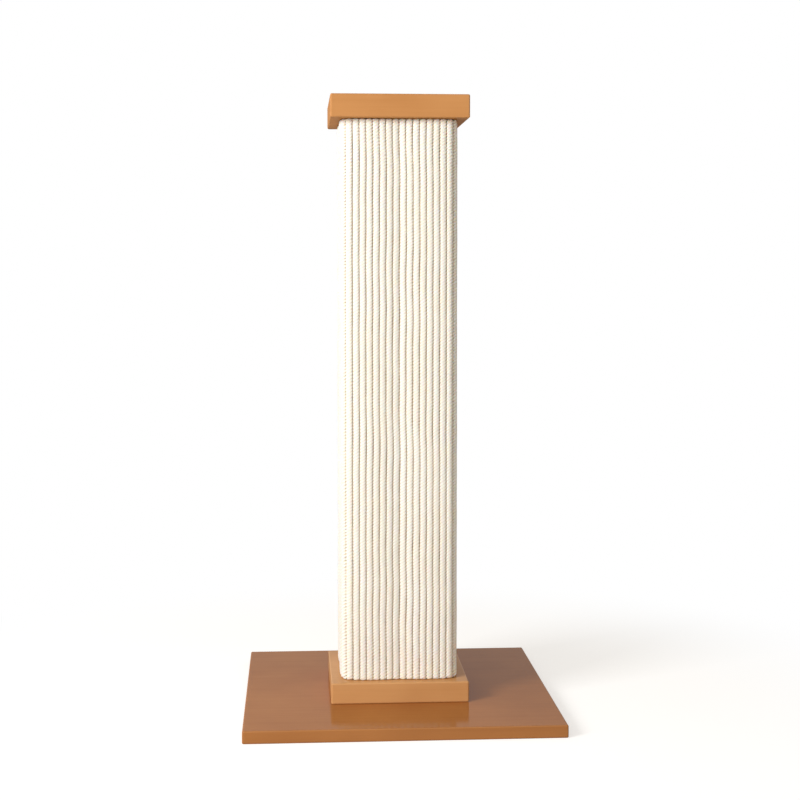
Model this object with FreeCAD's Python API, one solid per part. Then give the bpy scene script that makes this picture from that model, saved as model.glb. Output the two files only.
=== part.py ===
import FreeCAD, Part
import math
import os

# Cat scratching post. A square box post stands between a collar and a cap, rope lengths run from
# the one to the other on all four sides, and bolts from below hold it on a flat square base.
# Millimetres, +Z up. The origin is the middle of the base's underside, and the front looks along -Y.

# ---- driving dimensions ----

# Base board.
base_side = 400.0
base_thick = 16.0
base_edge_round = 2.0

# Collar under the post and cap on it.
collar_side = 178.0
collar_thick = 27.0
cap_side = 178.0
cap_thick = 30.0
block_edge_round = 2.0

# Box post between the collar and the cap: four boards round two end blocks.
post_length = 725.0
core_side = 133.0
core_board_thick = 15.0
end_block_thick = 40.0
end_block_fit = 0.2

# Rope lengths. Each side lies in two shallow bands, which stand proud in their middles.
rope_dia = 8.4
rope_gap_least = 0.1
rope_seat_gap = 0.15
rope_end_round = 2.5
bands_per_side = 2
band_crown = 2.0

# Bolts, with washers, in recesses under the base, and their threaded inserts.
bolt_dia = 8.0
bolt_head_dia = 14.0
bolt_head_high = 4.4
bolt_socket_flats = 5.0
bolt_socket_deep = 2.6
bolt_spacing = 60.0
bolt_hole_room = 0.5
bolt_head_sunk = 1.0
bolt_end_chamfer = 0.8
washer_dia = 18.0
washer_thick = 1.6
recess_room = 1.0
insert_dia = 12.0
insert_length = 20.0
insert_spare = 3.0
bolt_hole_spare = 5.0

# Dowels between the collar, the end blocks and the cap.
dowel_dia = 10.0
dowel_length = 30.0
dowel_chamfer = 1.0
dowel_hole_spare = 1.0
collar_dowel_spacing = 60.0
cap_dowel_spacing = 60.0

# Countersunk screws from the boards into the end blocks.
screw_dia = 4.0
screw_head_dia = 8.0
screw_head_high = 2.5
screw_length = 35.0
screw_point = 6.0
screw_spacing = 40.0
screw_inset = 9.0

# Brads along the corners, through the front and back boards into the edges of the side boards.
brad_dia = 1.6
brad_head_dia = 3.0
brad_head_high = 1.0
brad_length = 40.0
brad_point = 2.0
brad_end_distance = 70.0
brad_step_most = 150.0

# Clearance round every bolt thread, insert, dowel, screw and brad.
fastener_fit = 0.05

# ---- places worked out from them ----

collar_bottom = base_thick
collar_top = collar_bottom + collar_thick
cap_bottom = collar_top + post_length
core_half = core_side / 2
core_inner_half = core_half - core_board_thick

# The rope's centre lines stand in one row to a side. The last length of a row and the first of the
# next row lie diagonally across the post's corner, as far apart as neighbours in a row.
row_out = core_half + rope_seat_gap + rope_dia / 2
corner_step = 0.5 ** 0.5
ropes_per_side = int(2 * row_out / (rope_dia + rope_gap_least) - 2 * corner_step) + 1
rope_pitch = row_out / ((ropes_per_side - 1) / 2 + corner_step)
ropes_per_band = math.ceil(ropes_per_side / bands_per_side)

recess_deep = bolt_head_sunk + bolt_head_high + washer_thick
bolt_reach = insert_length - insert_spare
bolt_length = washer_thick + (base_thick - recess_deep) + collar_thick + bolt_reach

up = FreeCAD.Vector(0, 0, 1)
down = FreeCAD.Vector(0, 0, -1)

os.makedirs("parts", exist_ok=True)


# ---- shapes that several pieces use ----

def turned(outline):
    """A solid turned about Z from (radius, height) points, the first and last on the axis."""
    points = [FreeCAD.Vector(radius, 0, height) for radius, height in outline]
    face = Part.Face(Part.makePolygon(points + [points[0]]))
    return face.revolve(FreeCAD.Vector(0, 0, 0), up, 360)


def rod(dia, length):
    """A plain cylinder from Z 0 upwards."""
    return Part.makeCylinder(dia / 2, length)


def placed(shape, position, direction=up):
    """A copy of a shape made along Z, put at a position and pointed in a direction."""
    copy = shape.copy()
    copy.Placement = FreeCAD.Placement(position, FreeCAD.Rotation(up, direction))
    return copy


def square_of(spacing, height):
    """The four corners of a level square round the Z axis."""
    half = spacing / 2
    corners = [(-half, -half), (half, -half), (half, half), (-half, half)]
    return [FreeCAD.Vector(x, y, height) for x, y in corners]


def rounded_block(side, thick, bottom, edge_round):
    """A square block round the Z axis, with all its edges eased."""
    block = Part.makeBox(side, side, thick, FreeCAD.Vector(-side / 2, -side / 2, bottom))
    return block.makeFillet(edge_round, block.Edges)


def save(name, solids):
    """Write one sub-part and say what it holds."""
    shape = solids[0] if len(solids) == 1 else Part.makeCompound(solids)
    shape.exportStep("parts/" + name + ".step")
    box = shape.BoundBox
    sizes = "%.2f x %.2f x %.2f mm" % (box.XLength, box.YLength, box.ZLength)
    print(name, len(shape.Solids), "solids", sizes, "valid" if shape.isValid() else "NOT VALID")


# ---- bolts, washers and threaded inserts ----

def bolt_shape():
    """A button-head bolt, its head at the bottom and its thread upwards from Z 0."""
    head = bolt_head_dia / 2
    shank = bolt_dia / 2
    shoulder = bolt_head_high / 2
    tip = bolt_length - bolt_end_chamfer
    outline = [(0, -bolt_head_high), (shank, -bolt_head_high), (head, -shoulder), (head, 0), (shank, 0)]
    outline += [(shank, tip), (shank - bolt_end_chamfer, bolt_length), (0, bolt_length)]
    corner_reach = bolt_socket_flats / 3 ** 0.5
    hexagon = Part.makePolygon([
        FreeCAD.Rotation(up, 60 * corner).multVec(FreeCAD.Vector(corner_reach, 0, -bolt_head_high))
        for corner in range(7)
    ])
    socket = Part.Face(hexagon).extrude(FreeCAD.Vector(0, 0, bolt_socket_deep))
    return turned(outline).cut(socket)


def washer_shape():
    """A flat washer from Z 0 upwards."""
    return rod(washer_dia, washer_thick).cut(rod(bolt_dia + 2 * fastener_fit, washer_thick))


def insert_shape():
    """A threaded insert, drawn with a plain bore, from Z 0 upwards."""
    return rod(insert_dia, insert_length).cut(rod(bolt_dia + 2 * fastener_fit, insert_length))


bolt_hole_dia = bolt_dia + 2 * bolt_hole_room
washer_bottom = recess_deep - washer_thick
bolts = [placed(bolt_shape(), place) for place in square_of(bolt_spacing, washer_bottom)]
washers = [placed(washer_shape(), place) for place in square_of(bolt_spacing, washer_bottom)]
inserts = [placed(insert_shape(), place) for place in square_of(bolt_spacing, collar_top)]

save("base_bolts", bolts)
save("base_washers", washers)
save("threaded_inserts", inserts)


# ---- dowels and the holes that take them ----

def dowel_shape():
    """A dowel with chamfered ends, half of it on each side of Z 0."""
    radius = dowel_dia / 2
    half = dowel_length / 2
    narrow = radius - dowel_chamfer
    flank = half - dowel_chamfer
    return turned([(0, -half), (narrow, -half), (radius, -flank), (radius, flank), (narrow, half), (0, half)])


dowel_hole = rod(dowel_dia + 2 * fastener_fit, dowel_length / 2 + dowel_hole_spare)
collar_dowel_places = [
    FreeCAD.Vector(side * collar_dowel_spacing / 2, 0, collar_top)
    for side in (-1, 1)
]
cap_dowel_places = square_of(cap_dowel_spacing, cap_bottom)
collar_dowels = [placed(dowel_shape(), place) for place in collar_dowel_places]
cap_dowels = [placed(dowel_shape(), place) for place in cap_dowel_places]

save("collar_dowels", collar_dowels)
save("cap_dowels", cap_dowels)


# ---- screws and brads of the box post ----

def screw_shape(fit=0.0):
    """A countersunk screw that goes in along Z from a face at Z 0, or with a fit the hole for it."""
    head = screw_head_dia / 2 + fit
    shank = screw_dia / 2 + fit
    outline = [(0, 0), (head, 0), (shank, screw_head_high), (shank, screw_length - screw_point + fit)]
    return turned(outline + [(0, screw_length + fit)])


def brad_shape(fit=0.0):
    """A headed brad that goes in along Z from a face at Z 0, or with a fit the hole for it."""
    head = brad_head_dia / 2 + fit
    shank = brad_dia / 2 + fit
    neck = brad_head_high + fit
    outline = [(0, 0), (head, 0), (head, neck), (shank, neck), (shank, brad_length - brad_point + fit)]
    return turned(outline + [(0, brad_length + fit)])


def screw_seats():
    """Where each screw's head lies, and the way it goes in."""
    seats = []
    for height in (collar_top + end_block_thick - screw_inset, cap_bottom - end_block_thick + screw_inset):
        for quarter in range(4):
            turn = FreeCAD.Rotation(up, 90 * quarter)
            for side in (-1, 1):
                start = FreeCAD.Vector(side * screw_spacing / 2, -core_half, height)
                seats.append((turn.multVec(start), turn.multVec(FreeCAD.Vector(0, 1, 0))))
    return seats


def brad_seats():
    """Where each brad's head lies, and the way it goes in: evenly up each of the four corners."""
    reach = post_length - 2 * brad_end_distance
    steps = max(1, round(reach / brad_step_most + 0.5))
    across = core_half - core_board_thick / 2
    seats = []
    for face in (-1, 1):
        for side in (-1, 1):
            for step in range(steps + 1):
                height = collar_top + brad_end_distance + reach * step / steps
                start = FreeCAD.Vector(side * across, face * core_half, height)
                seats.append((start, FreeCAD.Vector(0, -face, 0)))
    return seats


screws = [placed(screw_shape(), *seat) for seat in screw_seats()]
screw_holes = Part.makeCompound([placed(screw_shape(fastener_fit), *seat) for seat in screw_seats()])
brads = [placed(brad_shape(), *seat) for seat in brad_seats()]
brad_holes = Part.makeCompound([placed(brad_shape(fastener_fit), *seat) for seat in brad_seats()])

save("block_screws", screws)
save("corner_brads", brads)


# ---- base, collar and cap ----

def base_board():
    """The board that the post stands on, with bolt holes and recesses for the bolt heads below."""
    board = rounded_block(base_side, base_thick, 0, base_edge_round)
    recess = rod(washer_dia + 2 * recess_room, recess_deep)
    hole = rod(bolt_hole_dia, base_thick)
    for place in square_of(bolt_spacing, 0):
        board = board.cut(placed(recess, place)).cut(placed(hole, place))
    return board


def collar_block():
    """The block under the post, with the bolt holes and blind holes for its two dowels."""
    block = rounded_block(collar_side, collar_thick, collar_bottom, block_edge_round)
    hole = rod(bolt_hole_dia, collar_thick)
    for place in square_of(bolt_spacing, collar_bottom):
        block = block.cut(placed(hole, place))
    for place in collar_dowel_places:
        block = block.cut(placed(dowel_hole, place, down))
    return block


def cap_block():
    """The block on top of the post, with blind holes for its four dowels."""
    block = rounded_block(cap_side, cap_thick, cap_bottom, block_edge_round)
    for place in cap_dowel_places:
        block = block.cut(placed(dowel_hole, place, up))
    return block


save("base_board", [base_board()])
save("collar_block", [collar_block()])
save("cap_block", [cap_block()])


# ---- box post ----

def core_board(width, quarter):
    """One board of the box, made at the front and turned round the Z axis by quarter turns."""
    corner = FreeCAD.Vector(-width / 2, -core_half, collar_top)
    board = Part.makeBox(width, core_board_thick, post_length, corner)
    board = board.rotated(FreeCAD.Vector(0, 0, 0), up, 90 * quarter)
    return board.cut(screw_holes).cut(brad_holes)


def end_block(bottom):
    """A plain block that closes one end of the box, with its screw holes."""
    side = 2 * (core_inner_half - end_block_fit)
    block = Part.makeBox(side, side, end_block_thick, FreeCAD.Vector(-side / 2, -side / 2, bottom))
    return block.cut(screw_holes)


def bottom_block():
    """The lower end block, bored for the inserts, the bolts' ends and the collar's dowels."""
    block = end_block(collar_top)
    insert_hole = rod(insert_dia + 2 * fastener_fit, insert_length)
    bolt_hole = rod(bolt_hole_dia, insert_length + bolt_hole_spare)
    for place in square_of(bolt_spacing, collar_top):
        block = block.cut(placed(insert_hole, place)).cut(placed(bolt_hole, place))
    for place in collar_dowel_places:
        block = block.cut(placed(dowel_hole, place, up))
    return block


def top_block():
    """The upper end block, bored for the cap's dowels."""
    block = end_block(cap_bottom - end_block_thick)
    for place in cap_dowel_places:
        block = block.cut(placed(dowel_hole, place, down))
    return block


save("core_front_board", [core_board(core_side, 0)])
save("core_right_board", [core_board(2 * core_inner_half, 1)])
save("core_back_board", [core_board(core_side, 2)])
save("core_left_board", [core_board(2 * core_inner_half, 3)])
save("core_bottom_block", [bottom_block()])
save("core_top_block", [top_block()])


# ---- rope ----

def crown_at(count):
    """How far a rope stands out from its row, by its place in its band."""
    part = (count % ropes_per_band) / (ropes_per_band - 1)
    return 4 * band_crown * part * (1 - part)


def rope_length():
    """One cut length of rope, as its round envelope with eased ends, from the collar to the cap."""
    rope = rod(rope_dia, post_length)
    end_edges = [edge for edge in rope.Edges if isinstance(edge.Curve, Part.Circle)]
    return rope.makeFillet(min(rope_end_round, 0.45 * rope_dia), end_edges)


def rope_side(quarter):
    """The lengths of one side, from left to right as one looks at it."""
    turn = FreeCAD.Rotation(up, 90 * quarter)
    one_length = rope_length()
    lengths = []
    for count in range(ropes_per_side):
        across = (count - (ropes_per_side - 1) / 2) * rope_pitch
        start = FreeCAD.Vector(across, -(row_out + crown_at(count)), collar_top)
        lengths.append(placed(one_length, turn.multVec(start)))
    return lengths


save("rope_front", rope_side(0))
save("rope_right", rope_side(1))
save("rope_back", rope_side(2))
save("rope_left", rope_side(3))
print("ropes to a side", ropes_per_side, "pitch %.3f" % rope_pitch, "bolt length %.1f" % bolt_length)
print("overall %.1f x %.1f x %.1f mm" % (base_side, base_side, cap_bottom + cap_thick))
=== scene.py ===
# %% [markdown]
# # A rope-covered scratching post
#
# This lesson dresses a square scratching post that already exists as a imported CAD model. The wooden
# base, collar and cap have the right shape, so they only get a finish. The rope lengths are plain
# round rods in the CAD model, so they are modelled again here, strand by strand. Everything is in
# metres, and each new piece lies exactly where its CAD node lies.

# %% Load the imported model
import math
import random

import bmesh
import bpy
import numpy as np
from mathutils import Euler, Matrix, Vector


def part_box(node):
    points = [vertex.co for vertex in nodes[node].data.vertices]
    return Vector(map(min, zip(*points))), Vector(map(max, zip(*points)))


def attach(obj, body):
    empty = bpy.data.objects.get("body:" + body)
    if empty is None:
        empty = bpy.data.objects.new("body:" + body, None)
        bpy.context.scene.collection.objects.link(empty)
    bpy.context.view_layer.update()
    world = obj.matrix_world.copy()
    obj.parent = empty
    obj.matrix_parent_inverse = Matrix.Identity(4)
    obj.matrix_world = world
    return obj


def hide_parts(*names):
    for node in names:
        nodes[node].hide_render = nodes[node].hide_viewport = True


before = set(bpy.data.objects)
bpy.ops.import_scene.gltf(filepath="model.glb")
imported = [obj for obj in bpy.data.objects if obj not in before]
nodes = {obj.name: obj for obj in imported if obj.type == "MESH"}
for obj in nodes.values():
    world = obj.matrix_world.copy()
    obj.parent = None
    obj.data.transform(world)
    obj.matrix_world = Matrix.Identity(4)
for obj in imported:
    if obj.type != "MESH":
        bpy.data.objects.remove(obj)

MM = 0.001
RIGHT_ANGLE = math.pi / 2
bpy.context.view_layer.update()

# %% [markdown]
# ## The camera
#
# The camera comes first, because it decides how much detail each piece needs. The photograph was taken
# with a long lens from a little left of the middle, at about three quarters of the post's height. The
# lens looks very slightly down. Its optical centre lies above the middle of the picture, which is a
# vertical shift, as on a picture that was cropped.

# %% Camera at the photograph's place
PHOTO_SIDE = 800
SENSOR_WIDTH = 36.0
FOCAL_PIXELS = 1567.9
OPTICAL_CENTRE_Y = 340
CAMERA_PLACE = (-0.1336, -2.0841, 0.5751)
CAMERA_TURN = (87.427, 0.0, -3.815)

camera_data = bpy.data.cameras.new("photo_camera")
camera_data.sensor_width = SENSOR_WIDTH
camera_data.lens = FOCAL_PIXELS * SENSOR_WIDTH / PHOTO_SIDE
camera_data.shift_y = (OPTICAL_CENTRE_Y - PHOTO_SIDE / 2) / PHOTO_SIDE
camera = bpy.data.objects.new("photo_camera", camera_data)
camera.location = CAMERA_PLACE
camera.rotation_euler = Euler([math.radians(angle) for angle in CAMERA_TURN])
bpy.context.scene.collection.objects.link(camera)
bpy.context.scene.camera = camera
bpy.context.scene.view_settings.view_transform = "Standard"
print("lens: %.2f mm, shift: %.3f" % (camera_data.lens, camera_data.shift_y))

# %% [markdown]
# ## A short way to write materials
#
# Every finish below is a small formula: grain plus blotches, minus wear. Written as nodes and links,
# such a formula is hard to read. So a socket is wrapped in a class that knows plus, minus and times,
# and each such step adds a Math node. Any other node comes from one method, `node`, which sets the
# node's own settings first and then its sockets.

# %% Sockets that can be added and multiplied
class Value:
    """A socket of a finish's node tree. Arithmetic on it adds Math nodes."""

    def __init__(self, finish, socket):
        self.finish = finish
        self.socket = socket

    def math(self, operation, *others):
        inputs = dict(enumerate([self, *others]))
        return self.finish.node("ShaderNodeMath", {"operation": operation}, inputs)

    def __add__(self, other):
        return self.math("ADD", other)

    def __sub__(self, other):
        return self.math("SUBTRACT", other)

    def __mul__(self, other):
        return self.math("MULTIPLY", other)

    def __rsub__(self, other):
        return (self * -1.0).math("ADD", other)

    __radd__ = __add__
    __rmul__ = __mul__

    def smallest(self, other):
        return self.math("MINIMUM", other)

    def largest(self, other):
        return self.math("MAXIMUM", other)

    def size(self):
        return self.math("ABSOLUTE")

    def fraction(self):
        return self.math("FRACT")

    def about_zero(self):
        """Noise from about 0 to 1, moved to lie from about -0.5 to 0.5."""
        return self - 0.5

    def between(self, low, high):
        """0 below low, 1 above high, and a smooth rise between them."""
        settings = {"interpolation_type": "SMOOTHSTEP"}
        inputs = {"Value": self, "From Min": low, "From Max": high}
        return self.finish.node("ShaderNodeMapRange", settings, inputs)


# %% A material or a world that is being written
class Finish:
    """The node tree of a material or a world, and short ways to add nodes to it."""

    def __init__(self, owner):
        owner.use_nodes = True
        self.owner = owner
        self.tree = owner.node_tree
        self.tree.nodes.clear()

    def node(self, kind, settings=None, inputs=None, output=0):
        """A node with its settings first, then the values or links of its sockets."""
        made = self.tree.nodes.new(kind)
        for name, value in (settings or {}).items():
            setattr(made, name, value)
        for name, value in (inputs or {}).items():
            if isinstance(value, Value):
                self.tree.links.new(value.socket, made.inputs[name])
            else:
                made.inputs[name].default_value = value
        return None if output is None else Value(self, made.outputs[output])

    def place(self, offset=(0, 0, 0)):
        """Object coordinates in metres, moved by an offset."""
        coordinates = self.node("ShaderNodeTexCoord", output="Object")
        return self.vector("ADD", coordinates, offset)

    def vector(self, operation, first, second):
        return self.node("ShaderNodeVectorMath", {"operation": operation}, {0: first, 1: second})

    def parts(self, vector):
        """The x, y and z of a vector."""
        split = self.node("ShaderNodeSeparateXYZ", None, {0: vector})
        return [Value(self, socket) for socket in split.socket.node.outputs]

    def noise(self, vector, scale=1.0, detail=2.0, roughness=0.5):
        """Smooth noise from about 0 to 1."""
        inputs = {"Vector": vector, "Scale": scale, "Detail": detail, "Roughness": roughness}
        return self.node("ShaderNodeTexNoise", None, inputs)

    def drawn_out(self, place, scales, detail=2.0):
        """Noise that is drawn out along an axis, by its scale along X, Y and Z."""
        return self.noise(self.vector("MULTIPLY", place, scales), detail=detail)

    def mix(self, share, first, second):
        """A colour between two colours."""
        return self.node("ShaderNodeMix", {"data_type": "RGBA"}, {0: share, 6: first, 7: second}, output=2)

    def bump(self, height, depth, strength):
        """A normal from a height, where a height of 1 stands out by depth."""
        inputs = {"Height": height, "Distance": depth, "Strength": strength}
        return self.node("ShaderNodeBump", None, inputs)

    def surface(self, **sockets):
        """Ends the material with a Principled shader. Names are its sockets', with _ for spaces."""
        inputs = {name.replace("_", " "): value for name, value in sockets.items()}
        shader = self.node("ShaderNodeBsdfPrincipled", None, inputs)
        self.node("ShaderNodeOutputMaterial", None, {"Surface": shader}, output=None)
        return self.owner


def new_finish(name):
    """An empty material, ready to be written."""
    return Finish(bpy.data.materials.new(name))


# %% [markdown]
# ## Growth rings
#
# All the post's wood is sawn from trunks, so it all shows growth rings. Rings are shells round a pith
# line, so noise that changes fast with the distance from that line, and slowly along it, gives long
# uneven lines on the faces and arcs on the end grain from one formula.

# %% Growth lines for any board whose grain runs along X
GROWTH_LINES_PER_METRE = 240
CHANGES_ALONG_THE_GRAIN = 3
RING_BEND = 5.0 * MM
RING_BEND_SCALES = (2.5, 11, 11)
RING_NOISE_ROUGHNESS = 0.6
LATE_WOOD_RANGE = (0.40, 0.78)


def growth_lines(finish, place, pith):
    """0 in pale early wood and 1 in dark late wood, in lines of uneven width round the pith."""
    bend = finish.drawn_out(place, RING_BEND_SCALES, detail=1)
    x, y, z = finish.parts(finish.vector("SUBTRACT", place, pith))
    radius = (y * y + z * z).math("SQRT") + bend * RING_BEND
    inputs = {"X": CHANGES_ALONG_THE_GRAIN * x, "Y": radius * GROWTH_LINES_PER_METRE}
    rings = finish.node("ShaderNodeCombineXYZ", None, inputs)
    return finish.noise(rings, detail=3, roughness=RING_NOISE_ROUGHNESS).between(*LATE_WOOD_RANGE)


print("a growth line is about %.1f mm wide" % (1 / GROWTH_LINES_PER_METRE / MM))

# %% [markdown]
# ## Stained and varnished wood
#
# The base, collar and cap are planed softwood with a light brown stain and a satin varnish. The stain
# hides most of the grain, but faint growth lines still run along each piece, and the stain took unevenly
# in soft blotches. Near the eased edges the colour is paler: the stain is thin there, and the paler edge
# is also a painted highlight. The varnish is a clear coat over wood that has no gloss of its own, so that
# the base mirrors the collar without turning milky. The base is the darkest and shiniest of the three
# boards, and the cap has the least varnish.

# %% Where the stain is worn thin and the edge is painted lighter, as a highlight
ARRIS_WEAR_AND_HIGHLIGHT = (0.22 * MM, 1.1 * MM)


def arris_distance(finish, low, high):
    """How far a point on a box's surface lies from the box's nearest edge."""
    middle = (low + high) / 2
    half = (high - low) / 2
    x, y, z = finish.parts(finish.place([-side for side in middle]))
    from_x = half.x - x.size()
    from_y = half.y - y.size()
    from_z = half.z - z.size()
    return from_x.smallest(from_y).largest(from_x.largest(from_y).smallest(from_z))


print("the stain is worn within %.1f mm of an edge" % (ARRIS_WEAR_AND_HIGHLIGHT[1] / MM))

# %% The look of one stained board
FIBRE_SCALES = (22, 900, 900)
STREAK_SCALES = (4, 60, 60)
BLOTCH_SCALE = 8
STAIN_LEVEL = 0.40
STAIN_BY_RINGS = 0.12
STAIN_BY_FIBRES = 0.15
STAIN_BY_STREAKS = 0.15
STAIN_BY_BLOTCHES = 0.8
THIN_STAIN_AND_HIGHLIGHT = (0.730, 0.440, 0.220, 1)
EDGE_WEAR_AND_HIGHLIGHT_LEAST = 0.1
EDGE_WEAR_AND_HIGHLIGHT_BY_STREAKS = 0.4
RELIEF_BY_FIBRES = 0.6
WOOD_RELIEF = 0.04 * MM
WOOD_RELIEF_STRENGTH = 0.4
WOOD_ROUGHNESS = 0.42
ROUGHNESS_BY_FIBRES = 0.2
WOOD_GLOSS = 0.0
VARNISH_ROUGHNESS = 0.12


def stained_wood(name, node, pith, light, dark, varnish):
    """Grain, stain and varnish for one CAD node whose grain runs along X."""
    finish = new_finish(name)
    low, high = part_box(node)
    place = finish.place()
    late_wood = growth_lines(finish, place, pith)
    fibres = finish.drawn_out(place, FIBRE_SCALES, detail=3)
    streaks = finish.drawn_out(place, STREAK_SCALES)
    blotches = finish.noise(place, scale=BLOTCH_SCALE, detail=3)
    stain = STAIN_LEVEL + STAIN_BY_RINGS * late_wood
    stain = stain + STAIN_BY_FIBRES * fibres.about_zero() + STAIN_BY_STREAKS * streaks.about_zero()
    stain = stain + STAIN_BY_BLOTCHES * blotches.about_zero()
    colour = finish.mix(stain.between(0.0, 1.0), light, dark)
    # Paler near the edges: thin stain from wear, and a painted highlight along every edge.
    worn = 1 - arris_distance(finish, low, high).between(*ARRIS_WEAR_AND_HIGHLIGHT)
    colour = finish.mix(worn * (EDGE_WEAR_AND_HIGHLIGHT_LEAST + EDGE_WEAR_AND_HIGHLIGHT_BY_STREAKS * streaks), colour, THIN_STAIN_AND_HIGHLIGHT)
    height = RELIEF_BY_FIBRES * fibres + (1 - RELIEF_BY_FIBRES) * (1 - late_wood)
    return finish.surface(
        Base_Color=colour,
        Roughness=WOOD_ROUGHNESS + ROUGHNESS_BY_FIBRES * fibres,
        Specular_IOR_Level=WOOD_GLOSS,
        Coat_Weight=varnish,
        Coat_Roughness=VARNISH_ROUGHNESS,
        Normal=finish.bump(height, WOOD_RELIEF, WOOD_RELIEF_STRENGTH),
    )


def dress(node, material):
    """Gives a CAD node its material."""
    for slot in nodes[node].material_slots:
        slot.material = material


# %% The three stained boards, with a point on the pith line of each
BOARDS = {
    "base_board": {
        "pith": (0.0, 0.02, -0.11),
        "light": (0.440, 0.180, 0.052, 1),
        "dark": (0.310, 0.112, 0.029, 1),
        "varnish": 0.31,
    },
    "collar_block": {
        "pith": (0.0, 0.03, -0.07),
        "light": (0.650, 0.355, 0.150, 1),
        "dark": (0.505, 0.242, 0.090, 1),
        "varnish": 0.28,
    },
    "cap_block": {
        "pith": (0.0, -0.02, 0.68),
        "light": (0.620, 0.300, 0.112, 1),
        "dark": (0.465, 0.200, 0.064, 1),
        "varnish": 0.05,
    },
}
for node, look in BOARDS.items():
    dress(node, stained_wood("stained_" + node, node, **look))
print("stained:", ", ".join(BOARDS))

# %% [markdown]
# ## Bare wood and plated steel inside
#
# The box post, its end blocks and the dowels are bare wood, and the bolts, washers, inserts, screws
# and brads are zinc-plated steel. They hardly show, but somebody may take the post apart. The wood
# uses the same growth rings with another pith, and the plating is metal with soft cloudy spangle.

# %% Bare wood
BARE_FIBRE_SCALES = (25, 1100, 1100)
BARE_DARK_BY_RINGS = 0.65
BARE_DARK_BY_FIBRES = 0.5
BARE_DARK_RANGE = (0.1, 1.1)
BARE_ROUGHNESS = 0.6
BARE_RELIEF = 0.08 * MM
BARE_RELIEF_STRENGTH = 0.5


def bare_wood(name, pith, pale, dark):
    """Planed bare wood whose grain stands upright. The pith's place is its height, X and Y."""
    finish = new_finish(name)
    x, y, z = finish.parts(finish.place())
    place = finish.node("ShaderNodeCombineXYZ", None, {"X": z, "Y": x, "Z": y})
    late_wood = growth_lines(finish, place, pith)
    fibres = finish.drawn_out(place, BARE_FIBRE_SCALES, detail=3)
    darkness = BARE_DARK_BY_RINGS * late_wood + BARE_DARK_BY_FIBRES * fibres
    return finish.surface(
        Base_Color=finish.mix(darkness.between(*BARE_DARK_RANGE), pale, dark),
        Roughness=BARE_ROUGHNESS + ROUGHNESS_BY_FIBRES * fibres,
        Normal=finish.bump(fibres, BARE_RELIEF, BARE_RELIEF_STRENGTH),
    )


pine = bare_wood(
    "bare_pine", pith=(0.0, 0.03, 0.12), pale=(0.66, 0.47, 0.27, 1), dark=(0.50, 0.31, 0.15, 1)
)
beech = bare_wood(
    "bare_beech", pith=(0.0, 0.05, 0.05), pale=(0.72, 0.50, 0.33, 1), dark=(0.58, 0.38, 0.23, 1)
)
core_nodes = [node for node in nodes if node.startswith("core_")]
for node in core_nodes:
    dress(node, pine)
for node in ("collar_dowels", "cap_dowels"):
    dress(node, beech)
print("bare pine:", ", ".join(core_nodes))

# %% Zinc plate
SPANGLE_SCALE = 420
SCRATCH_SCALES = (2600, 2600, 260)
ZINC_DARK = (0.52, 0.53, 0.55, 1)
ZINC_PALE = (0.72, 0.73, 0.74, 1)
ZINC_ROUGHNESS = 0.24
ROUGHNESS_BY_SPANGLE = 0.2
SCRATCH_DEPTH = 0.02 * MM
SCRATCH_STRENGTH = 0.4


def zinc_plate():
    """Bright plating with soft spangle and fine upright scratches."""
    finish = new_finish("zinc_plate")
    place = finish.place()
    spangle = finish.noise(place, scale=SPANGLE_SCALE, detail=3)
    scratches = finish.drawn_out(place, SCRATCH_SCALES, detail=1)
    return finish.surface(
        Base_Color=finish.mix(spangle, ZINC_DARK, ZINC_PALE),
        Metallic=1.0,
        Roughness=ZINC_ROUGHNESS + ROUGHNESS_BY_SPANGLE * spangle,
        Normal=finish.bump(scratches, SCRATCH_DEPTH, SCRATCH_STRENGTH),
    )


plate = zinc_plate()
for node in ("base_bolts", "base_washers", "threaded_inserts", "block_screws", "corner_brads"):
    dress(node, plate)
print("materials so far:", len(bpy.data.materials))

# %% [markdown]
# ## Rope
#
# The rope is three-strand sisal, laid hard: its strands cross the rope steeply, so each shows as a
# short slanted bead. It could be three curves with a round bevel, but those cut through each other.
# One closed outline with three lobes, spun up the rope like a screw, makes the same beads as one
# clean skin, and its mesh lines follow the strands.

# %% Sizes of the rope, from the CAD nodes where they can be
ROPE_DIAMETER = 8.4 * MM
ROPES_PER_SIDE = 16
ROPES_PER_BAND = 8
STRANDS = 3
LAY_LENGTH = 12.2 * MM

rope_radius = ROPE_DIAMETER / 2
rope_low, rope_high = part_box("rope_front")
rope_reach = rope_high.z - rope_low.z
row_half = rope_high.x - rope_radius
row_out = rope_radius - rope_high.y
rope_pitch = 2 * row_half / (ROPES_PER_SIDE - 1)
print("rope: %.3f mm apart, %.1f mm long" % (rope_pitch / MM, rope_reach / MM))

# %% One straight rope length
POINTS_PER_STRAND = 5
CREASE_SHARE = 0.70
RING_STEP = 1.05 * MM
END_DOME = 1.0 * MM
CREASE_MARGIN = 1e-6  # share of a strand, so that rounding takes no point across a crease


def strand_share(phase):
    """How far the rope's skin is from its middle, as a share: least in a crease, most on a strand."""
    return CREASE_SHARE + (1 - CREASE_SHARE) * math.sqrt(max(0.0, math.sin(math.pi * phase)))


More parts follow.
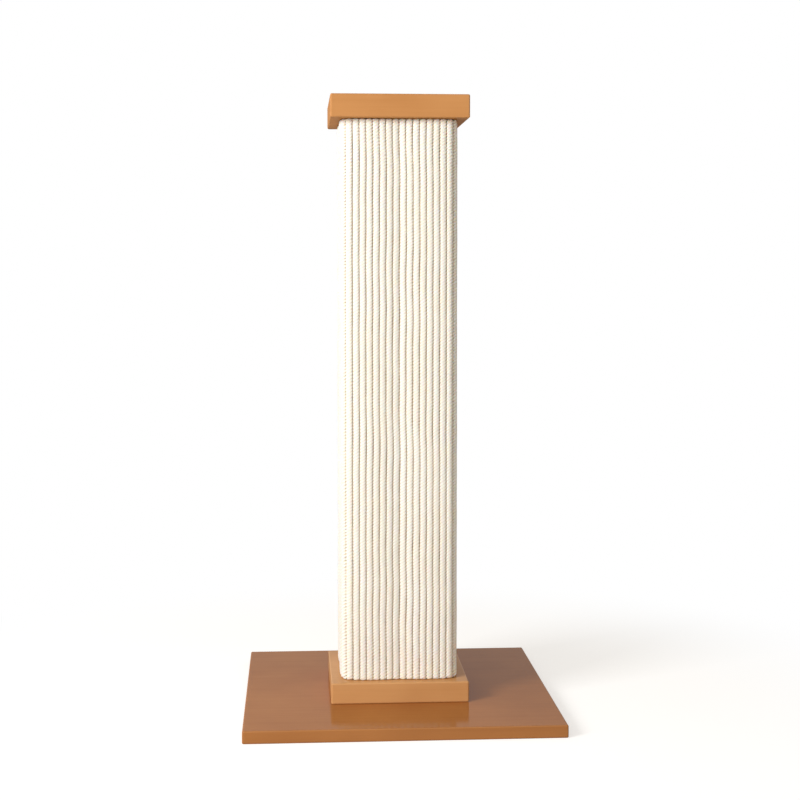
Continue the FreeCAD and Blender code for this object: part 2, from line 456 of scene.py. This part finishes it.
def spun_rope():
    """A straight rope from Z 0 upwards: one lobed ring, spun about Z while it rises."""
    bm = bmesh.new()
    bmesh.ops.create_circle(bm, segments=STRANDS * POINTS_PER_STRAND, radius=rope_radius)
    start = Matrix.Rotation(-RIGHT_ANGLE, 3, "Z")
    bmesh.ops.rotate(bm, verts=bm.verts, cent=(0, 0, 0), matrix=start)
    for vert in bm.verts:
        phase = (math.atan2(vert.co.y, vert.co.x) * STRANDS / math.tau + CREASE_MARGIN) % 1
        vert.co *= strand_share(phase)
    bmesh.ops.translate(bm, verts=bm.verts, vec=(0, 0, END_DOME))
    steps = round((rope_reach - 2 * END_DOME) / RING_STEP)
    rise = (rope_reach - 2 * END_DOME) / steps
    bmesh.ops.spin(
        bm, geom=bm.verts[:] + bm.edges[:], cent=(0, 0, 0), axis=(0, 0, 1), dvec=(0, 0, rise),
        angle=math.tau * steps * rise / LAY_LENGTH, steps=steps, use_duplicate=False,
    )
    open_edges = [edge for edge in bm.edges if edge.is_boundary]
    ends = bmesh.ops.holes_fill(bm, edges=open_edges, sides=0)["faces"]
    for vert in bmesh.ops.poke(bm, faces=ends)["verts"]:
        vert.co.z = 0 if vert.co.z < rope_reach / 2 else rope_reach
    bmesh.ops.recalc_face_normals(bm, faces=bm.faces)
    return bm


rope_form = spun_rope()
print("one rope:", len(rope_form.verts), "points,", len(rope_form.faces), "faces")

# %% A map of the rope's skin
ROPE_MAP = "OFBake"
SEAM_MARGIN = 1e-4  # share of a turn, so that rounding takes no point across the seam
HALF_TURN = 0.5
POLE_REACH = 0.1 * rope_radius  # only the middle point of an end lies nearer than this


def turn_of(vert):
    """Where a point lies round the rope, in turns from the seam, or None at the middle of an end."""
    if vert.co.xy.length < POLE_REACH:
        return None
    rise = min(max(vert.co.z, END_DOME), rope_reach - END_DOME) - END_DOME
    turn = math.atan2(vert.co.y, vert.co.x) / math.tau - rise / LAY_LENGTH
    return (turn + SEAM_MARGIN) % 1


def unroll(bm):
    """Maps the skin: round the rope across the map, and up the rope along it. Its seam is a crease."""
    layer = bm.loops.layers.uv.new(ROPE_MAP)
    for face in bm.faces:
        turns = {vert: turn_of(vert) for vert in face.verts}
        turns = {vert: turn for vert, turn in turns.items() if turn is not None}
        if max(turns.values()) - min(turns.values()) > HALF_TURN:
            turns = {vert: turn + 1 if turn < HALF_TURN else turn for vert, turn in turns.items()}
        middle = sum(turns.values()) / len(turns)
        for loop in face.loops:
            loop[layer].uv = (turns.get(loop.vert, middle), loop.vert.co.z / rope_reach)


unroll(rope_form)
rope_mesh = bpy.data.meshes.new("straight_rope")
rope_form.to_mesh(rope_mesh)
rope_form.free()
print("its map:", rope_mesh.uv_layers[0].name)

# %% [markdown]
# ## Laying the ropes on the post
#
# Straight copies would look like a comb. Real lengths wander a little, and neighbours wander together,
# because each is pressed against the next. Their twist hurries and lags. Each side lies in two shallow
# bands that stand proud in their middles. All of that moves points that exist already, so it is done
# on arrays.

# %% Bands that stand proud in their middles
BAND_CROWN = 2.0 * MM


def band_share(number):
    """Where a rope lies in its band, from 0 for the first to 1 for the last.

    A rope goes by its number on its side, from 0 on the left, as seen from outside the post.
    """
    return (number % ROPES_PER_BAND) / (ROPES_PER_BAND - 1)


def crown_at(number):
    """How far a rope stands out of its row."""
    share = band_share(number)
    return 4 * BAND_CROWN * share * (1 - share)


def slope_at(number):
    """How steeply the band's face rises to the right where a rope lies."""
    return 4 * BAND_CROWN * (1 - 2 * band_share(number)) / ((ROPES_PER_BAND - 1) * rope_pitch)


print("ropes stand out by, in mm:", [round(crown_at(number) / MM, 1) for number in range(ROPES_PER_BAND)])

# %% Wandering, and the wave lengths that it is made of
# These are in metres, apart from the twist's wander, which is an angle, and the swell, which is a share.
WANDER = 0.85 * MM
OWN_WANDER = 0.12 * MM
DEPTH_WANDER = 0.45 * MM
TWIST_WANDER = 0.55
SWELL = 0.018
WANDER_LENGTHS = (0.33, 0.17, 0.09)
DEPTH_LENGTHS = (0.26, 0.12, 0.06)
OWN_LENGTHS = (0.11, 0.052, 0.027)
TWIST_LENGTHS = (0.19, 0.083, 0.047)
PHASE_SPREAD = 38 * MM
SEED = 11

chance = random.Random(SEED)


def random_phases(count):
    """So many angles, each from anywhere in a full turn."""
    return [chance.uniform(0, math.tau) for _ in range(count)]


def slow_wave(height, lengths, phases):
    """A smooth wandering value between -1 and 1, from a few sine waves up the rope."""
    waves = [np.sin(math.tau * height / length + phase) for length, phase in zip(lengths, phases)]
    return sum(waves) / len(waves)


print("a middle rope wanders sideways by up to %.2f mm" % ((WANDER + OWN_WANDER) / MM))

# %% [markdown]
# ## The section of a laid rope
#
# A rope that is pressed between its neighbours is no longer round. It is a little square, and its open
# face is pressed and worn flat. A rope at a corner of the post stays round on the side that faces the
# corner. At the collar and the cap every rope is drawn in towards the post, and more so at a corner.
# Each point also notes how deep in a groove it lies, because the rope is painted darker there, as
# painted shade between neighbours and dust.

# %% A squared, worn and pressed section
SQUEEZE = 1.026
SQUARENESS = 3.0
FACE_WEAR = 0.3
FACE_ROUNDNESS = 0.38


def squared(turn):
    """How much further than a round section a squared one reaches, by direction."""
    return (abs(np.cos(turn)) ** SQUARENESS + abs(np.sin(turn)) ** SQUARENESS) ** (-1 / SQUARENESS)


def worn(reach, turn):
    """The reach of the skin, where wear has made the creases of the open face shallower."""
    wear = FACE_WEAR * np.clip(-np.sin(turn), 0, 1) * (reach > POLE_REACH)
    return reach + (rope_radius - reach) * wear


def pressed(x, y, number):
    """The section's Y, flattened on its open face, but not on the side that faces a corner."""
    to_corner = np.zeros_like(x)
    if number == 0:
        to_corner = np.clip(-x / rope_radius, 0, 1)
    if number == ROPES_PER_SIDE - 1:
        to_corner = np.clip(x / rope_radius, 0, 1)
    roundness = FACE_ROUNDNESS + (1 - FACE_ROUNDNESS) * to_corner * to_corner * (3 - 2 * to_corner)
    return y * np.where(y < 0, roundness, 2 - roundness) - rope_radius * (1 - roundness)


print("a squared section's corners reach %.2f of a round one" % squared(RIGHT_ANGLE / 2))

# %% Ends that are drawn in
BOTTOM_TUCK_REACH = 6 * MM
TOP_TUCK_REACH = 9 * MM
BOTTOM_TUCK = 0.15
TOP_TUCK = 0.10
BOTTOM_CORNER_TUCK = 0.40
TOP_CORNER_TUCK = 0.22
TUCK_CURVE = 2.5


def kept_depth(height, at_corner):
    """The share of its thickness that a rope keeps at a height: less where it is drawn in."""
    bottom = 1 - np.clip(height / BOTTOM_TUCK_REACH, 0, 1)
    top = 1 - np.clip((rope_reach - height) / TOP_TUCK_REACH, 0, 1)
    bottom_share = BOTTOM_CORNER_TUCK if at_corner else BOTTOM_TUCK
    top_share = TOP_CORNER_TUCK if at_corner else TOP_TUCK
    return 1 - bottom_share * bottom ** TUCK_CURVE - top_share * top ** TUCK_CURVE


print("depth kept at the bottom: %.2f, and at a corner %.2f" % (kept_depth(0, False), kept_depth(0, True)))

# %% How deep in a groove a point lies
def groove_depth(turn, number):
    """1 where a rope meets its neighbours and behind them, and 0 on its open face."""
    from_back = (turn - RIGHT_ANGLE) % math.tau
    left_contact = RIGHT_ANGLE
    right_contact = 3 * RIGHT_ANGLE
    if number == 0:
        left_contact -= RIGHT_ANGLE / 2
    if number == ROPES_PER_SIDE - 1:
        right_contact += RIGHT_ANGLE / 2
    from_contact = np.minimum(from_back - left_contact, right_contact - from_back)
    return 1 - np.sin(np.clip(from_contact, 0, RIGHT_ANGLE))


at_contact = groove_depth(0, 1)
on_face = groove_depth(-RIGHT_ANGLE, 1)
print("groove depth at a contact: %.1f, and on the open face: %.1f" % (at_contact, on_face))

# %% One rope in its place
def laid(points, number, side_phases):
    """The straight rope's points at one place of the front side, and how deep in a groove each lies."""
    x, y, z = points.T
    start, *own_phases = random_phases(1 + len(TWIST_LENGTHS))
    turn = np.arctan2(y, x) + start + TWIST_WANDER * slow_wave(z, TWIST_LENGTHS, own_phases)
    swell = 1 + SWELL * slow_wave(z, OWN_LENGTHS, own_phases)
    reach = worn(np.hypot(x, y), turn) * swell * squared(turn)
    x = reach * np.cos(turn) * SQUEEZE
    y = pressed(x, reach * np.sin(turn), number) - slope_at(number) * x
    at_corner = number in (0, ROPES_PER_SIDE - 1)
    y = rope_radius - (rope_radius - y) * kept_depth(z, at_corner)
    across = number * rope_pitch - row_half
    room = math.cos(RIGHT_ANGLE * across / (row_half + rope_pitch))  # a middle rope has room to wander
    phases = [phase + across / PHASE_SPREAD for phase in side_phases]
    x = x + across + room * WANDER * slow_wave(z, WANDER_LENGTHS, phases)
    x = x + room * OWN_WANDER * slow_wave(z, OWN_LENGTHS, own_phases)
    y = y - row_out - crown_at(number)
    y = y - room * DEPTH_WANDER * slow_wave(z, DEPTH_LENGTHS, phases[::-1])
    return np.stack([x, y, z + rope_low.z], 1), groove_depth(turn, number)


def quarter_turns(points, quarter):
    """Points turned about Z by quarter turns, exactly."""
    x, y, z = points.T
    for _ in range(quarter):
        x, y = -y, x
    return np.stack([x, y, z], 1)


# %% [markdown]
# ## Sisal
#
# Sisal is a hard pale fibre that lets a little light through. The skin's map says where a point lies
# on its strand, so the creases between strands and yarns can be painted darker, as painted shade with
# some dust, and the yarns can cross each strand almost in line with the rope, as they do in a laid rope.
# The groove mark paints the rope browner between its neighbours: painted shade, with the dust there.

# %% Colours and sizes of sisal
GROOVE = "in_groove"
MAP_COLUMNS = ROPES_PER_BAND + 0.01  # one column a rope, and a sliver so that the last ends inside
SISAL_PALE = (0.965, 0.955, 0.910, 1)
SISAL_WARM = (0.930, 0.895, 0.810, 1)
# The crease colour is painted shade between strands and yarns, with some dust; the groove colour is
# painted shade between ropes, with dust.
SISAL_CREASE_SHADE_AND_DUST = (0.450, 0.290, 0.135, 1)
SISAL_GROOVE_SHADE_AND_DUST = (0.680, 0.440, 0.200, 1)
SISAL_FIBRE_SCALES = (2300, 2300, 240)
SISAL_TONE_SCALES = (60, 60, 9)
WARM_BY_FIBRES = 0.5
WARM_BY_TONE = 0.8
WARM_RANGE = (0.35, 1.0)
GROOVE_SHADE_AND_DUST = 0.5
GROOVE_RANGE = (0.15, 0.9)
CREASE_SHADE_AND_DUST = 0.20
CREASE_SHADE_AND_DUST_BY_GROOVE = 0.42
CREASE_RANGE = (0.05, 0.65)
YARNS_PER_STRAND = 4
YARN_TURN = 0.7
YARN_GAP_SHADE_AND_DUST = 0.1
YARN_RELIEF = 0.5
FIBRE_RELIEF = 0.7
SISAL_RELIEF = 0.28 * MM
SISAL_RELIEF_STRENGTH = 0.5
SISAL_ROUGHNESS = 0.78
SISAL_ROUGHNESS_BY_FIBRES = 0.14
SISAL_GLOSS = 0.25
SISAL_GLOW = 0.6
SISAL_GLOW_REACH = (1.6 * MM, 1.3 * MM, 1.0 * MM)
print("a strand's bead is %.1f mm long" % (LAY_LENGTH / STRANDS / MM))


# %% The look of sisal rope
def sisal():
    """Sisal for a band of ropes, by the band's own map."""
    finish = new_finish("sisal")
    unrolled = finish.node("ShaderNodeUVMap", {"uv_map": ROPE_MAP})
    across, along, _ = finish.parts(unrolled)
    phase = (across * (MAP_COLUMNS * STRANDS)).fraction()
    crest = 4 * phase * (1 - phase)
    lays = along * (rope_reach / LAY_LENGTH)
    yarn = ((phase + lays * (STRANDS * YARN_TURN)) * YARNS_PER_STRAND).fraction()
    yarn_crest = 4 * yarn * (1 - yarn)
    place = finish.place()
    fibres = finish.drawn_out(place, SISAL_FIBRE_SCALES)
    tone = finish.drawn_out(place, SISAL_TONE_SCALES)
    warm = (WARM_BY_FIBRES * fibres + WARM_BY_TONE * tone).between(*WARM_RANGE)
    colour = finish.mix(warm, SISAL_PALE, SISAL_WARM)
    deep = finish.node("ShaderNodeAttribute", {"attribute_name": GROOVE}, output="Fac")
    # Painted shade with some dust: the colour turns browner deeper in the grooves between neighbouring
    # ropes.
    colour = finish.mix(GROOVE_SHADE_AND_DUST * deep.between(*GROOVE_RANGE), colour, SISAL_GROOVE_SHADE_AND_DUST)
    # Painted shade with some dust: the creases between strands and the gaps between yarns are darkened,
    # more so deep in a groove.
    crease_shade_and_dust = (1 - crest.between(*CREASE_RANGE)) * (CREASE_SHADE_AND_DUST + CREASE_SHADE_AND_DUST_BY_GROOVE * deep)
    colour = finish.mix(crease_shade_and_dust + YARN_GAP_SHADE_AND_DUST * (1 - yarn_crest), colour, SISAL_CREASE_SHADE_AND_DUST)
    relief = YARN_RELIEF * yarn_crest + FIBRE_RELIEF * fibres
    return finish.surface(
        Base_Color=colour,
        Roughness=SISAL_ROUGHNESS + SISAL_ROUGHNESS_BY_FIBRES * fibres,
        Specular_IOR_Level=SISAL_GLOSS,
        Subsurface_Weight=SISAL_GLOW,
        Subsurface_Radius=SISAL_GLOW_REACH,
        Subsurface_Scale=1.0,
        Normal=finish.bump(relief, SISAL_RELIEF, SISAL_RELIEF_STRENGTH),
    )


sisal_finish = sisal()
print("nodes in the sisal:", len(sisal_finish.node_tree.nodes))

# %% [markdown]
# ## The rope covering
#
# Each side has sixteen lengths in two bands. A band is one piece, with its ropes side by side on one
# map, so that no piece has too many faces. Every side is laid as the front is, with a wandering of
# its own, and turned to its place by quarter turns.

# %% A band of ropes as one piece
def rope_band(name, quarter, numbers, side_phases):
    """Several neighbouring rope lengths of one side, as one mesh with one map."""
    bm = bmesh.new()
    for _ in numbers:
        bm.from_mesh(rope_mesh)
    mesh = bpy.data.meshes.new(name)
    bm.to_mesh(mesh)
    bm.free()
    straight = np.array([vert.co for vert in rope_mesh.vertices])
    laid_ropes, depths = zip(*[laid(straight, number, side_phases) for number in numbers])
    points = quarter_turns(np.concatenate(laid_ropes), quarter)
    mesh.vertices.foreach_set("co", points.astype(np.float32).ravel())
    in_groove = mesh.attributes.new(GROOVE, "FLOAT", "POINT")
    in_groove.data.foreach_set("value", np.concatenate(depths).astype(np.float32))
    unrolled = np.empty(len(mesh.loops) * 2, np.float32)
    mesh.uv_layers[ROPE_MAP].uv.foreach_get("vector", unrolled)
    unrolled = unrolled.reshape(len(numbers), -1, 2)
    unrolled[:, :, 0] += np.arange(len(numbers))[:, None]
    unrolled[:, :, 0] /= MAP_COLUMNS
    mesh.uv_layers[ROPE_MAP].uv.foreach_set("vector", unrolled.ravel())
    mesh.shade_smooth()
    mesh.materials.append(sisal_finish)
    piece = bpy.data.objects.new(name, mesh)
    bpy.context.scene.collection.objects.link(piece)
    return piece


# %% Two bands on each side
SIDES = ("front", "right", "back", "left")

for quarter, side in enumerate(SIDES):
    side_phases = random_phases(len(WANDER_LENGTHS))
    for band, first in (("a", 0), ("b", ROPES_PER_BAND)):
        name = "rope_%s_band_%s" % (side, band)
        numbers = range(first, first + ROPES_PER_BAND)
        piece = rope_band(name, quarter, numbers, side_phases)
        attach(piece, "root")
        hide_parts("rope_" + side)
        print(name, "lengths:", len(numbers), "faces:", len(piece.data.polygons))

# %% [markdown]
# ## Pale surroundings
#
# The photograph is a product picture on white. The world lights the shaded sides with a weak warm
# light, as a room does, and shows plain white to the camera and in reflections.

# %% A white world that gives a weak warm light
WORLD_LIGHT = 0.40
WORLD_TINT = (1.0, 0.88, 0.72, 1)
WHITE = (1, 1, 1, 1)


def is_seen(finish):
    """1 for what the camera sees, also in a reflection or through something, and 0 for its light."""
    seen, mirrored, through = [
        finish.node("ShaderNodeLightPath", output=ray)
        for ray in ("Is Camera Ray", "Is Glossy Ray", "Is Transmission Ray")
    ]
    return seen.largest(mirrored).largest(through)


world = bpy.data.worlds.new("pale_room")
bpy.context.scene.world = world
room = Finish(world)
room_light = room.node("ShaderNodeBackground", None, {"Color": WORLD_TINT, "Strength": WORLD_LIGHT})
room_white = room.node("ShaderNodeBackground", None, {"Color": WHITE, "Strength": 1.0})
room_shown = room.node("ShaderNodeMixShader", None, {0: is_seen(room), 1: room_light, 2: room_white})
room.node("ShaderNodeOutputWorld", None, {"Surface": room_shown}, output=None)
print("world light:", WORLD_LIGHT)

# %% [markdown]
# ## Floor
#
# The floor is pale. Near the post it is a matt surface, lifted to near white for the camera, so that it
# keeps the post's shadow. Further out it turns to plain white, so that no horizon shows.

# %% Pale floor
FLOOR_RADIUS = 8.0
FLOOR_SEGMENTS = 96
FLOOR_SHADOW_REACH = (0.30, 0.80)
FLOOR_PALE = (0.60, 0.60, 0.60, 1)
FLOOR_LIFT = 0.60


def pale_floor():
    """White with a soft shadow near the post, and plain white beyond it."""
    finish = new_finish("pale_floor")
    x, y, _ = finish.parts(finish.place())
    distance = (x * x + y * y).math("SQRT")
    seen = is_seen(finish)
    plain = finish.node("ShaderNodeBsdfDiffuse", None, {"Color": FLOOR_PALE})
    lift = finish.node("ShaderNodeEmission", None, {"Color": WHITE, "Strength": FLOOR_LIFT})
    lifted = finish.node("ShaderNodeAddShader", None, {0: plain, 1: lift})
    near = finish.node("ShaderNodeMixShader", None, {0: seen, 1: plain, 2: lifted})
    white = finish.node("ShaderNodeEmission", None, {"Color": WHITE, "Strength": 1.0})
    far = distance.between(*FLOOR_SHADOW_REACH) * seen
    mixed = finish.node("ShaderNodeMixShader", None, {0: far, 1: near, 2: white})
    finish.node("ShaderNodeOutputMaterial", None, {"Surface": mixed}, output=None)
    return finish.owner


floor_form = bmesh.new()
bmesh.ops.create_circle(floor_form, cap_ends=True, segments=FLOOR_SEGMENTS, radius=FLOOR_RADIUS)
floor_mesh = bpy.data.meshes.new("floor")
floor_form.to_mesh(floor_mesh)
floor_form.free()
floor_mesh.materials.append(pale_floor())
floor = bpy.data.objects.new("floor", floor_mesh)
bpy.context.scene.collection.objects.link(floor)
print("floor radius:", FLOOR_RADIUS, "m")

# %% [markdown]
# ## Lamps
#
# One large soft lamp stands low at the front left and throws the shadow to the right. A weaker and
# larger one, nearer the front, brings a little light into the grooves.

# %% Two soft lamps
LAMP_AIM = Vector((0, 0, 0.42))
KEY_TINT = (1.0, 1.0, 1.0)
FILL_TINT = (1.0, 0.99, 0.97)


def soft_lamp(name, left, up, distance, side, power, tint):
    """A square lamp that looks at the post from so many degrees left of the front and up."""
    toward = Vector((0, -1, 0))
    toward.rotate(Euler((-math.radians(up), 0, -math.radians(left))))
    data = bpy.data.lights.new(name, "AREA")
    data.shape = "SQUARE"
    data.size = side
    data.energy = power
    data.color = tint
    lamp = bpy.data.objects.new(name, data)
    lamp.location = LAMP_AIM + toward * distance
    lamp.rotation_euler = toward.to_track_quat("Z", "Y").to_euler()
    bpy.context.scene.collection.objects.link(lamp)


soft_lamp("key_lamp", left=51, up=20, distance=2.7, side=0.9, power=58, tint=KEY_TINT)
soft_lamp("fill_lamp", left=20, up=12, distance=3.0, side=1.8, power=18, tint=FILL_TINT)
print("lamps:", len(bpy.data.lights))
